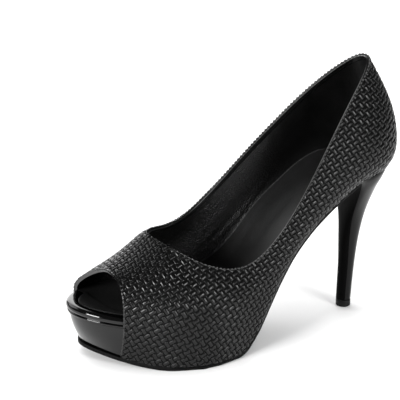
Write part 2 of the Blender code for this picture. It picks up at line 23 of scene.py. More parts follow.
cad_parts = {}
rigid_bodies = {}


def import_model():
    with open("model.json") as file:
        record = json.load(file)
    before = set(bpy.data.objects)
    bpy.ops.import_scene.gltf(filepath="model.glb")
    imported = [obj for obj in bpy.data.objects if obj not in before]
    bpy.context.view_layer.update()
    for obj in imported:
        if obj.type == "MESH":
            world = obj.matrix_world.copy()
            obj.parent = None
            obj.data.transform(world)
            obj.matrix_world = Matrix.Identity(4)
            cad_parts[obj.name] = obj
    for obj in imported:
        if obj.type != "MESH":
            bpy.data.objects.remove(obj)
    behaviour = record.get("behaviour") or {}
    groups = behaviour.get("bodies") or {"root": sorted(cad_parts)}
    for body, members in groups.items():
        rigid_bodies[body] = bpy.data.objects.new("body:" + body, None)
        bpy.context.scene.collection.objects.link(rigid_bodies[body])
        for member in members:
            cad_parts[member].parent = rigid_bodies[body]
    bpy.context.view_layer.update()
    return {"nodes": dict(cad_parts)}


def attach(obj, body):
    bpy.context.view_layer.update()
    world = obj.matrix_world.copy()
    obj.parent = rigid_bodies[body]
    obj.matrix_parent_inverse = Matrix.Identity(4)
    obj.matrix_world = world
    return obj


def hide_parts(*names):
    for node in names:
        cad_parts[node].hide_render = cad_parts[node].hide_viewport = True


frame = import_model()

MM = 0.001
BODY = "root"
LOG = logging.getLogger("pump")
# Materials that are made already, by the names of their finishes.
MADE: dict[str, Material] = {}
# Weld distance in millimetres, and how often rounding divides a face.
WELD = 0.01
ROUNDS = 2
# Least height of a normal that faces up, and least area of a flat triangle.
FACING_UP = 0.3
SLIVER = 1e-12
# What the finishes share: refraction, the mottle's clouds and the span of them that varies the
# gloss, the relief's fibres and pores, and how much relief is left where it is worn.
IOR = 1.5
CLOUDS = {"Detail": 4.0, "Roughness": 0.6}
CLOUD_SPAN = (0.3, 0.7)
FIBRES = {"Detail": 6.0, "Roughness": 0.65}
PORE_SMOOTHNESS = 0.6
WORN_RELIEF = 0.15
# The part of half a wave that a crease follows, so that its ends fade: its start and its length.
CREASE_WAVE = (0.08, 0.84)


class Zone(Enum):
    """Parts of the upper's shell, by the order of its materials."""

    OUTSIDE = 0
    EDGE = 1
    LINING = 2


class Slot(Enum):
    """The record's material slots."""

    UPPER = "woven_leather"
    INSOLE = "insole_leather"
    LIP = "patent_leather"
    PLATFORM = "platform_patent"
    OUTSOLE = "outsole_rubber"
    HEEL = "heel_lacquer"
    TIP = "heel_tip_rubber"


def linear(code: str) -> tuple[float, float, float, float]:
    """Turns an sRGB hex colour into linear light.

    Args:
        code: six hex digits.

    Returns:
        Red, green, blue and an alpha of one.
    """
    shares = [int(code[k:k + 2], 16) / 255 for k in (0, 2, 4)]
    bright = [c / 12.92 if c <= 0.04045 else ((c + 0.055) / 1.055) ** 2.4 for c in shares]
    return (bright[0], bright[1], bright[2], 1.0)


def add_node(tree: NodeTree, kind: str, settings: dict[str, Any] | None = None,
             inputs: dict[Any, Any] | None = None) -> Node:
    """Adds a shader node with its settings and links.

    Args:
        tree: the material's node tree.
        kind: the node's type name.
        settings: values of the node's own properties.
        inputs: values or output sockets, by the name or the place of the input.

    Returns:
        The new node.
    """
    node = tree.nodes.new(kind)
    for name, value in (settings or {}).items():
        setattr(node, name, value)
    for name, value in (inputs or {}).items():
        if isinstance(value, NodeSocket):
            tree.links.new(value, node.inputs[name])
        else:
            node.inputs[name].default_value = value
    return node


@dataclass(frozen=True)
class Finish:
    """A surface with a mottled colour, a varied gloss and a fine relief.

    Colours are sRGB hex values, and the grain and the mottle are sizes in millimetres. worn tells
    between which places along the shoe, in millimetres toward the heel, the relief wears away.
    """

    name: str
    dark: str
    light: str
    roughness: tuple[float, float]
    grain: float
    relief: float
    mottle: float
    coat: float = 0.0
    coat_roughness: float = 0.1
    specular: float = 0.5
    worn: tuple[float, float] | None = None

    def material(self) -> Material:
        """Builds the material, or gives the one that is made already.

        Returns:
            The material.
        """
        if self.name in MADE:
            return MADE[self.name]
        material = bpy.data.materials.new(self.name)
        MADE[self.name] = material
        material.use_nodes = True
        tree = material.node_tree
        shader = tree.nodes["Principled BSDF"]
        shader.inputs["IOR"].default_value = IOR
        shader.inputs["Coat Weight"].default_value = self.coat
        shader.inputs["Coat Roughness"].default_value = self.coat_roughness
        shader.inputs["Specular IOR Level"].default_value = self.specular
        place = add_node(tree, "ShaderNodeTexCoord").outputs["Object"]
        self.colour(tree, shader, place)
        self.surface(tree, shader, place)
        return material

    def colour(self, tree: NodeTree, shader: Node, place: NodeSocket) -> None:
        """Mottles the colour and the gloss.

        Args:
            tree: the material's nodes.
            shader: its shader node.
            place: the coordinates to read.
        """
        clouds = add_node(tree, "ShaderNodeTexNoise", {}, {
            "Vector": place, "Scale": 1 / (self.mottle * MM), **CLOUDS})
        shade = add_node(tree, "ShaderNodeMix", {"data_type": "RGBA"}, {
            0: clouds.outputs["Fac"], 6: linear(self.dark), 7: linear(self.light)})
        gloss = add_node(tree, "ShaderNodeMapRange", {}, {
            "Value": clouds.outputs["Fac"], "From Min": CLOUD_SPAN[0], "From Max": CLOUD_SPAN[1],
            "To Min": self.roughness[0], "To Max": self.roughness[1]})
        tree.links.new(shade.outputs[2], shader.inputs["Base Color"])
        tree.links.new(gloss.outputs["Result"], shader.inputs["Roughness"])

    def surface(self, tree: NodeTree, shader: Node, place: NodeSocket) -> None:
        """Adds the fine relief of pores and grain.

        Args:
            tree: the material's nodes.
            shader: its shader node.
            place: the coordinates to read.
        """
        pores = add_node(tree, "ShaderNodeTexVoronoi", {"feature": "SMOOTH_F1"}, {
            "Vector": place, "Scale": 1 / (self.grain * MM), "Smoothness": PORE_SMOOTHNESS})
        fibres = add_node(tree, "ShaderNodeTexNoise", {}, {
            "Vector": place, "Scale": 1 / (self.grain * MM), **FIBRES})
        both = add_node(tree, "ShaderNodeMath", {"operation": "ADD"}, {
            0: pores.outputs["Distance"], 1: fibres.outputs["Fac"]})
        bump = add_node(tree, "ShaderNodeBump", {}, {
            "Strength": 1.0, "Distance": self.relief * MM, "Height": both.outputs["Value"]})
        if self.worn:
            along = add_node(tree, "ShaderNodeSeparateXYZ", {}, {"Vector": place}).outputs["Y"]
            left = add_node(tree, "ShaderNodeMapRange", {}, {
                "Value": along, "From Min": self.worn[0] * MM, "From Max": self.worn[1] * MM,
                "To Min": 1.0, "To Max": WORN_RELIEF})
            tree.links.new(left.outputs["Result"], bump.inputs["Strength"])
        tree.links.new(bump.outputs["Normal"], shader.inputs["Normal"])


# Embossed cow leather, dyed through and sealed: black, with a satin shine on each raised strand.
STRAND_LEATHER = Finish("embossed_leather_strands", "060606", "0b0b0b", (0.20, 0.28), 0.45, 0.03, 6.0,
                        coat=0.1, coat_roughness=0.2, specular=0.22)
# The pressed ground between the strands is darker and duller than the strands, a painted shade in the
# grooves, and so are the shell's cut edges under the folds.
GROUND_PAINTED_SHADE = Finish("embossed_leather_ground_painted_shade", "030303", "060606", (0.55, 0.70), 0.45, 0.05, 6.0,
                        specular=0.1)
# Turned edges of the same leather, stretched smooth over the fold, so they catch a thin line of light.
EDGE_LEATHER = Finish("folded_leather_edge", "060606", "0b0b0b", (0.20, 0.28), 0.6, 0.05, 8.0,
                      coat=0.35, coat_roughness=0.15)
# Pebbled lining that glitters along the waist, and is worn smooth and dark where the heel grips it.
LINING_LEATHER = Finish("lining_leather", "040404", "090909", (0.30, 0.42), 0.9, 0.5, 12.0,
                        worn=(22.0, 52.0))
# Smooth coated insole cover over foam: satin, a little lighter than the lining.
INSOLE_LEATHER = Finish("insole_cover_leather", "141414", "1e1e1e", (0.34, 0.46), 0.9, 0.06, 25.0)
# The insole's turned edge, smooth and coloured a lighter grey as a painted highlight, so that it draws a
# thin light line beside the lining.
SOCK_EDGE_PAINTED_HIGHLIGHT = Finish("insole_edge_painted_highlight", "2a2a2a", "383838", (0.22, 0.30), 0.9, 0.04, 8.0,
                           coat=0.5, coat_roughness=0.15)
# Patent leather: a thick clear lacquer on black, nearly a mirror, with a faint ripple of the hide.
PATENT_LEATHER = Finish("black_patent_leather", "030303", "050505", (0.10, 0.16), 3.0, 0.03, 15.0,
                        coat=0.55, coat_roughness=0.03, specular=0.1)
# Sprayed lacquer on the moulded heel: hard and satin, with a trace of orange peel.
HEEL_LACQUER = Finish("black_lacquer", "020202", "040404", (0.12, 0.2), 1.5, 0.008, 20.0,
                      coat=0.24, coat_roughness=0.18, specular=0.05)
# The heel's breast takes a dull copy of the same lacquer that reflects little, a painted shade, so that
# it stays black beside the lacquered sides.
HEEL_BREAST_PAINTED_SHADE = Finish("heel_breast_painted_shade", "020202", "040404", (0.50, 0.62), 1.5, 0.02, 20.0,
                     specular=0.04)
# Moulded thermoplastic rubber sole: black, dull, with a fine cast texture.
SOLE_RUBBER = Finish("sole_rubber", "030303", "070707", (0.55, 0.72), 0.7, 0.12, 10.0, specular=0.1)
# Hard polyurethane top piece of the heel.
TIP_RUBBER = Finish("tip_polyurethane", "040404", "080808", (0.45, 0.6), 0.6, 0.1, 5.0, specular=0.2)
# Seamless white background paper.
FLOOR_PAPER = Finish("background_paper", "f4f4f4", "f8f8f8", (0.85, 0.95), 2.0, 0.02, 300.0)


@dataclass(frozen=True)
class Plan:
    """How a solid becomes a piece: edges sharper than angle, in degrees, stay as hard as crease."""

    node: str
    name: str
    finish: Finish
    slot: Slot
    angle: float = 40.0
    crease: float = 0.9


def only(piece: Object) -> None:
    """Selects one object alone and makes it active.

    Args:
        piece: the object.
    """
    bpy.ops.object.select_all(action="DESELECT")
    piece.select_set(True)
    bpy.context.view_layer.objects.active = piece


def unpick(piece: Object, kind: str) -> None:
    """Sets a mesh to pick one kind of element, and picks none.

    Args:
        piece: the piece, which becomes the active one.
        kind: EDGE or FACE.
    """
    only(piece)
    bpy.ops.object.mode_set(mode="EDIT")
    bpy.ops.mesh.select_mode(type=kind)
    bpy.ops.mesh.select_all(action="DESELECT")
    bpy.ops.object.mode_set(mode="OBJECT")


def linked(name: str, data: ID) -> Object:
    """Makes an object in the scene and selects it alone.

    Args:
        name: its name.
        data: what it shows: a mesh, a curve, a light or a camera.

    Returns:
        The object.
    """
    piece = bpy.data.objects.new(name, data)
    bpy.context.scene.collection.objects.link(piece)
    only(piece)
    return piece


def made_of(name: str, points: np.ndarray, faces: list[tuple[int, ...]]) -> Object:
    """Makes a piece of points and faces.

    Args:
        name: its name.
        points: its points in metres, one row each.
        faces: the places of each face's corners.

    Returns:
        The piece.
    """
    mesh = bpy.data.meshes.new(name)
    mesh.from_pydata(points.tolist(), [], faces)
    mesh.update()
    return linked(name, mesh)


def copy_of(plan: Plan) -> Object:
    """Copies a solid's mesh, welds its triangles, pairs them to quads and creases its edges.

    Args:
        plan: which solid it is, and which edges rounding keeps.

    Returns:
        The new piece.
    """
    piece = linked(plan.name, frame["nodes"][plan.node].data.copy())
    piece.data.name = plan.name
    piece.data.materials.clear()
    bpy.ops.mesh.customdata_custom_splitnormals_clear()
    bpy.ops.object.mode_set(mode="EDIT")
    bpy.ops.mesh.select_all(action="SELECT")
    bpy.ops.mesh.remove_doubles(threshold=WELD * MM)
    bpy.ops.mesh.tris_convert_to_quads(
        face_threshold=math.pi, shape_threshold=math.pi, topology_influence=2.0)
    bpy.ops.object.mode_set(mode="OBJECT")
    unpick(piece, "EDGE")
    bpy.ops.object.mode_set(mode="EDIT")
    bpy.ops.mesh.edges_select_sharp(sharpness=math.radians(plan.angle))
    bpy.ops.mesh.mark_sharp()
    bpy.ops.transform.edge_crease(value=plan.crease)
    bpy.ops.object.mode_set(mode="OBJECT")
    return piece


def rounded(piece: Object) -> None:
    """Rounds a piece by subdivision and applies it.

    Args:
        piece: the piece to round.
    """
    only(piece)
    modifier = piece.modifiers.new("Round", "SUBSURF")
    modifier.levels = ROUNDS
    modifier.render_levels = ROUNDS
    bpy.ops.object.modifier_apply(modifier=modifier.name)


def smooth(piece: Object, angle: float) -> None:
    """Shades a piece smooth, apart from edges sharper than an angle in degrees."""
    only(piece)
    bpy.ops.object.shade_smooth_by_angle(angle=math.radians(angle))


def dress(piece: Object, *finishes: Finish) -> None:
    """Gives a piece its materials, and keeps which face has which.

    Args:
        piece: the piece.
        finishes: the finishes, in the order of its materials.
    """
    slots = piece.data.materials
    while len(slots) < len(finishes):
        slots.append(None)
    for k, finish in enumerate(finishes):
        slots[k] = finish.material()


def hand_over(piece: Object, slot: Slot, *nodes: str) -> None:
    """Puts a finished piece on the shoe and reports it.

    Args:
        piece: the piece, with its place in its mesh.
        slot: the record's slot that the piece stands for; not used.
        nodes: the solids that it stands for.
    """
    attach(piece, BODY)
    if nodes:
        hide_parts(*nodes)
    LOG.info("%s: %d faces", piece.name, len(piece.data.polygons))


def points_of(mesh: Mesh) -> np.ndarray:
    """Gives a mesh's points in metres, one row each."""
    return np.array([v.co for v in mesh.vertices])


def tree_of(mesh: Mesh) -> BVHTree:
    """Makes a search tree of a mesh, in millimetres."""
    faces = [tuple(face.vertices) for face in mesh.polygons]
    return BVHTree.FromPolygons((points_of(mesh) / MM).tolist(), faces)


def lengths(points: np.ndarray) -> np.ndarray:
    """Gives how far each point of a path lies from the first, along the path."""
    return np.concatenate([[0], np.cumsum(np.linalg.norm(np.diff(points, axis=0), axis=1))])


def cross(a: np.ndarray, b: np.ndarray) -> np.ndarray:
    """Gives the cross product of each pair of flat rows."""
    return a[:, 0] * b[:, 1] - a[:, 1] * b[:, 0]


@dataclass(frozen=True)
class Crease:
    """A soft ridge, or a trough where its height is negative, with sizes in millimetres.

    Its ends are given by the two axes named in plane: (y, z) on a wall and (x, y) on the footbed.
    """

    start: tuple[float, float]
    end: tuple[float, float]
    height: float
    width: float
    plane: tuple[int, int] = (1, 2)

    def lift(self, points: np.ndarray) -> np.ndarray:
        """Gives how far the crease lifts each point.

        Args:
            points: places in millimetres, one row each.

        Returns:
            Lifts in millimetres.
        """
        start, end = np.array(self.start), np.array(self.end)
        run = end - start
        away = points[:, self.plane] - start
        share = np.clip((away @ run) / (run @ run), 0.0, 1.0)
        gap = np.linalg.norm(away - share[:, None] * run, axis=1)
        fade = np.sin(math.pi * (CREASE_WAVE[0] + CREASE_WAVE[1] * share))
        return self.height * fade * np.exp(-((gap / self.width) ** 2))


# The lining has gathered a little where it turns under the footbed's inner edge.
LINING_CREASES = (
    Crease((-14.0, 40.0), (3.0, 54.0), 0.40, 1.7),
    Crease((-4.0, 43.5), (16.0, 62.0), -0.28, 1.5),
    Crease((0.0, 43.0), (20.0, 63.0), 0.36, 1.6),
    Crease((-10.0, 50.0), (8.0, 66.0), 0.30, 2.0),
    Crease((12.0, 53.0), (28.0, 72.0), 0.34, 1.5),
    Crease((10.0, 60.0), (24.0, 76.0), -0.24, 1.8),
    Crease((24.0, 66.0), (38.0, 82.0), 0.28, 1.7),
)
# The insole's cover is drawn into shallow waves along the arch.
INSOLE_CREASES = (
    Crease((-21.5, -8.0), (-21.5, 24.0), 0.35, 2.2, (0, 1)),
    Crease((-16.5, 0.0), (-17.0, 28.0), -0.25, 2.4, (0, 1)),
    Crease((-14.5, 16.0), (-13.0, 48.0), 0.30, 2.4, (0, 1)),
    Crease((-7.0, 10.0), (-5.0, 44.0), -0.25, 2.8, (0, 1)),
)


def shift(mesh: Mesh, amounts: np.ndarray) -> None:
    """Moves a mesh's points along their normals.

    Args:
        mesh: the mesh.
        amounts: how far each point moves, in millimetres.
    """
    normals = np.array([v.normal for v in mesh.vertices])
    points = points_of(mesh) + normals * amounts[:, None] * MM
    mesh.vertices.foreach_set("co", points.astype(np.float32).ravel())
    mesh.update()


@dataclass
class Upper:
    """The upper's shell, which carries the weave and the folds. Sizes in millimetres.

    Its sharp edges part the outside, the cut edges and the lining. inward is how deep a search for
    the lining starts, and the two places are the ends of the vamp's ridge.
    """

    shell: Object = field(init=False)
    plan: Plan = Plan("upper", "upper_shell", GROUND_PAINTED_SHADE, Slot.UPPER, angle=50.0, crease=1.0)
    ground_drop: float = 0.22
    inward: float = 0.1
    peep_top: tuple[float, float, float] = (-3.9, -84.5, 54.3)
    throat: tuple[float, float, float] = (-4.3, -58.1, 69.8)

    def build(self) -> None:
        """Rounds the shell, sinks its ground, creases its lining and dresses it."""
        self.shell = copy_of(self.plan)
        self.mark_zones()
        rounded(self.shell)
        self.sink_ground()
        self.crease_lining()
        # The outside and the cut edges take the ground's darker, duller finish: painted shade between the
        # strands.
        dress(self.shell, self.plan.finish, self.plan.finish, LINING_LEATHER)
        smooth(self.shell, self.plan.angle)
        hand_over(self.shell, self.plan.slot, self.plan.node)

    def mark_zones(self) -> None:
        """Tells the outside, the cut edges and the lining apart, by the creases between them."""
        mesh = self.shell.data
        for _ in Zone:
            mesh.materials.append(None)
        mesh.polygons.foreach_set("material_index", [Zone.EDGE.value] * len(mesh.polygons))
        widest = int(np.argmax([face.center.x for face in mesh.polygons]))
        for zone, seed in ((Zone.OUTSIDE, widest), (Zone.LINING, self.face_behind(widest))):
            unpick(self.shell, "FACE")
            mesh.polygons[seed].select = True
            bpy.ops.object.mode_set(mode="EDIT")
            bpy.ops.mesh.select_linked(delimit={"SHARP"})
            self.shell.active_material_index = zone.value
            bpy.ops.object.material_slot_assign()
            bpy.ops.object.mode_set(mode="OBJECT")

    def face_behind(self, outer: int) -> int:
        """Finds the lining's face behind an outer face.

        Args:
            outer: the outer face's place in the mesh.

        Returns:
            The place of the lining's face.
        """
        face = self.shell.data.polygons[outer]
        start = face.center / MM - face.normal * self.inward
        return tree_of(self.shell.data).ray_cast(start, -face.normal)[2]

    def within(self, zone: Zone) -> np.ndarray:
        """Tells which points lie in one zone alone, and not on its border.

        Args:
            zone: the zone.

        Returns:
            Whether each point does.
        """
        mesh = self.shell.data
        there = np.zeros(len(mesh.vertices), bool)
        for inside in (True, False):
            for face in mesh.polygons:
                if (face.material_index == zone.value) is inside:
                    there[list(face.vertices)] = inside
        return there

    def sink_ground(self) -> None:
        """Sinks the outside a little, so that the weave stands about as high as the solid."""
        shift(self.shell.data, np.where(self.within(Zone.OUTSIDE), -self.ground_drop, 0.0))

    def crease_lining(self) -> None:
        """Presses the listed creases into the lining's inner side."""
        points = points_of(self.shell.data) / MM
        lift = sum(crease.lift(points) for crease in LINING_CREASES)
        inner_side = self.within(Zone.LINING) & (points[:, 0] < 0)
        shift(self.shell.data, np.where(inner_side, lift, 0.0))


@dataclass
class Skin:
    """The upper's outside laid flat: where each flat place lies on the shoe.

    flat holds the corners of flat triangles in millimetres, place and normal what they are on the
    shoe, and tree finds them. bias is how far in degrees the weave is turned from the vamp's ridge.
    The back seam is found by how near its edges lie to the middle and how far back they start.
    """

    upper: Upper
    bias: float = -7.0
    seam_near: float = 0.05
    seam_start: float = 50.0
    flat: np.ndarray = field(init=False)
    place: np.ndarray = field(init=False)
    normal: np.ndarray = field(init=False)
    tree: BVHTree = field(init=False)

    def unfold(self) -> None:
        """Cuts the outside open at the back seam and flattens it."""
        sheet = linked("skin", self.upper.shell.data.copy())
        mesh = sheet.data
        unpick(sheet, "FACE")
        for face in mesh.polygons:
            face.select = face.material_index != Zone.OUTSIDE.value
        bpy.ops.object.mode_set(mode="EDIT")
        bpy.ops.mesh.delete(type="FACE")
        bpy.ops.object.mode_set(mode="OBJECT")
        unpick(sheet, "EDGE")
        points = points_of(mesh)
        middle = points[int(np.argmax(points[:, 1])), 0]
        for edge in mesh.edges:
            ends = points[list(edge.vertices)]
            near = np.abs(ends[:, 0] - middle).max() < self.seam_near * MM
            edge.select = bool(near and ends[:, 1].min() > self.seam_start * MM)
        bpy.ops.object.mode_set(mode="EDIT")
        bpy.ops.mesh.mark_seam()
        bpy.ops.mesh.select_all(action="SELECT")
        bpy.ops.uv.unwrap(method="ANGLE_BASED", margin=0.0)
        bpy.ops.object.mode_set(mode="OBJECT")
        self.read(mesh)
        bpy.data.objects.remove(sheet)

    def read(self, mesh: Mesh) -> None:
        """Reads the flat mesh, scales it to its real area and turns the ridge along its first axis.

        Args:
            mesh: the flattened outside.
        """
        mesh.calc_loop_triangles()
        loops = np.array([tri.loops for tri in mesh.loop_triangles])
        corner = np.zeros(len(mesh.loops), np.int32)
        mesh.loops.foreach_get("vertex_index", corner)
        flat = np.zeros(len(mesh.loops) * 2, np.float32)
        mesh.uv_layers.active.data.foreach_get("uv", flat)
        flat = flat.reshape(-1, 2).astype(float)
        points = points_of(mesh) / MM
        normals = np.array([v.normal for v in mesh.vertices])
        a, b, c = points[corner[loops]].swapaxes(0, 1)
        real = np.linalg.norm(np.cross(b - a, c - a), axis=1).sum()
        u, v, w = flat[loops].swapaxes(0, 1)
        sign = cross(v - u, w - u)
        flat *= math.sqrt(real / np.abs(sign).sum())
        if sign.sum() < 0:
            flat[:, 0] *= -1
        ends = []
        for mark in (self.upper.peep_top, self.upper.throat):
            near = int(np.argmin(np.linalg.norm(points - np.array(mark), axis=1)))
            ends.append(flat[np.argmax(corner == near)])
        ridge = ends[1] - ends[0]
        heading = math.atan2(ridge[1], ridge[0]) + math.radians(self.bias)
        run, rise = math.cos(heading), math.sin(heading)
        turn = np.array([[run, rise], [-rise, run]])
        flat = (flat - ends[1]) @ turn.T
        self.flat = flat[loops]
        self.place = points[corner[loops]]
        self.normal = normals[corner[loops]]
        corners = np.concatenate([self.flat, np.zeros((*self.flat.shape[:2], 1))], axis=2)
        faces = np.arange(len(corners) * 3).reshape(-1, 3)
        self.tree = BVHTree.FromPolygons(corners.reshape(-1, 3).tolist(), faces.tolist())

    def onto(self, spots: np.ndarray) -> tuple[np.ndarray, np.ndarray, np.ndarray]:
        """Finds flat spots on the shoe.

        Args:
            spots: flat places, one row each.

        Returns:
            Their places on the shoe, the normals there, and how far each lies outside the skin.
        """
        count = len(spots)
        tri = np.zeros(count, int)
        hit = np.zeros((count, 2))
        off = np.zeros(count)
        for k, spot in enumerate(spots):
            found, _, index, distance = self.tree.find_nearest((spot[0], spot[1], 0.0))
            tri[k] = index
            hit[k] = found[0], found[1]
            off[k] = distance
        a, b, c = (self.flat[tri, k] for k in range(3))
        area = cross(b - a, c - a)
        area = np.where(np.abs(area) < SLIVER, SLIVER, area)
        share_b = cross(hit - a, c - a) / area
        share_c = cross(b - a, hit - a) / area
        shares = np.stack([1 - share_b - share_c, share_b, share_c], axis=1)[:, :, None]
        place = (self.place[tri] * shares).sum(axis=1)
        normal = (self.normal[tri] * shares).sum(axis=1)
        return place, normal / np.linalg.norm(normal, axis=1)[:, None], off


@dataclass
class Weave:
    """The embossed plain weave: one raised strand to a square cell, crossing its neighbours.

    Sizes in millimetres. across and along hold where a strand's points lie, as shares of half a
    cell, with their heights as shares of the rise. A cell is kept if its middle lies no further off
    the skin than overhang, a share of the cell, and what lies past the rim stays down. The heights
    vary by the share uneven.
    """

    skin: Skin
    cell: float = 3.4
    rise: float = 0.62
    foot: float = -0.12
    across: tuple[tuple[float, float], ...] = (
        (-0.80, 0.0), (-0.48, 0.66), (-0.16, 1.0), (0.16, 1.0), (0.48, 0.66), (0.80, 0.0))
    along: tuple[tuple[float, float], ...] = (
        (-1.18, 0.0), (-1.03, 0.80), (-0.76, 1.0), (0.76, 1.0), (1.03, 0.80), (1.18, 0.0))
    seed: int = 11
    uneven: float = 0.06
    overhang: float = 0.35
    rim: float = 0.02

    def build(self) -> None:
        """Lays the strands over the flat skin, bends them onto the shoe and joins them."""
        half = self.cell / 2
        wide = np.array(self.across)
        long = np.array(self.along)
        rows, columns = len(long), len(wide)
        low = np.floor(self.skin.flat.reshape(-1, 2).min(axis=0) / self.cell).astype(int)
        high = np.ceil(self.skin.flat.reshape(-1, 2).max(axis=0) / self.cell).astype(int)
        spans = [range(low[k], high[k] + 1) for k in range(2)]
        cells = np.array([(i, j) for i in spans[0] for j in spans[1]])
        centres = (cells + 0.5) * self.cell
        _, _, off = self.skin.onto(centres)
        kept = off < self.overhang * self.cell
        cells, centres = cells[kept], centres[kept]
        lengthwise = (cells.sum(axis=1) % 2) == 0
        run = np.repeat(long[:, 0], columns) * half
        side = np.tile(wide[:, 0], rows) * half
        height = self.foot + self.rise * np.repeat(long[:, 1], columns) * np.tile(wide[:, 1], rows)
        u = centres[:, :1] + np.where(lengthwise[:, None], run, side)
        v = centres[:, 1:] + np.where(lengthwise[:, None], side, -run)
        random = np.random.default_rng(self.seed)
        lift = height[None, :] * (1 + random.normal(0, self.uneven, (len(cells), 1)))
        place, normal, off = self.skin.onto(np.stack([u.ravel(), v.ravel()], axis=1))
        lift = np.where(off > self.rim, self.foot, lift.ravel())
        points = (place + normal * lift[:, None]) * MM
        faces = self.faces(rows, columns)
        size = rows * columns
        every = [tuple(k * size + corner for corner in face) for k in range(len(cells)) for face in faces]
        piece = made_of("weave", points, every)
        dress(piece, STRAND_LEATHER)
        bpy.ops.object.shade_smooth()
        hand_over(piece, Slot.UPPER)

    @staticmethod
    def faces(rows: int, columns: int) -> list[tuple[int, ...]]:
        """Gives a strand's faces: its top as a grid, and one face under it.

        Args:
            rows: points along the strand.
            columns: points across it.

        Returns:
            The corners of each face.
        """
        made: list[tuple[int, ...]] = []
        for r in range(rows - 1):
            for c in range(columns - 1):
                k = r * columns + c
                made.append((k, k + columns, k + columns + 1, k + 1))
        rim = list(range(columns))
        rim += [r * columns + columns - 1 for r in range(1, rows)]
        rim += [(rows - 1) * columns + c for c in range(columns - 2, -1, -1)]
        rim += [r * columns for r in range(rows - 2, 0, -1)]
        made.append(tuple(rim))
        return made


class Run(Enum):
    """The two rims of the upper that are turned over."""

    TOPLINE = "topline"
    PEEP = "peep"


@dataclass(frozen=True)
class Station:
    """A point of a fold's outline: where it lies over the rim, and how far it is lifted.

    down is millimetres down the outside (negative) or the inside (positive), and across the share
    of the rim's width; only one of them is used. strand is how high the strands stand there.
    """

    lift: float
    down: float = 0.0
    across: float = 0.0
    strand: float = 0.0

    def reach(self, width: float) -> float:
        """Gives the station's distance from the rim's outer corner.

        Args:
            width: the rim's width.

        Returns:
            The distance over the rim, negative down the outside.
        """
        if self.down > 0:
            return width + self.down
        return self.down + self.across * width


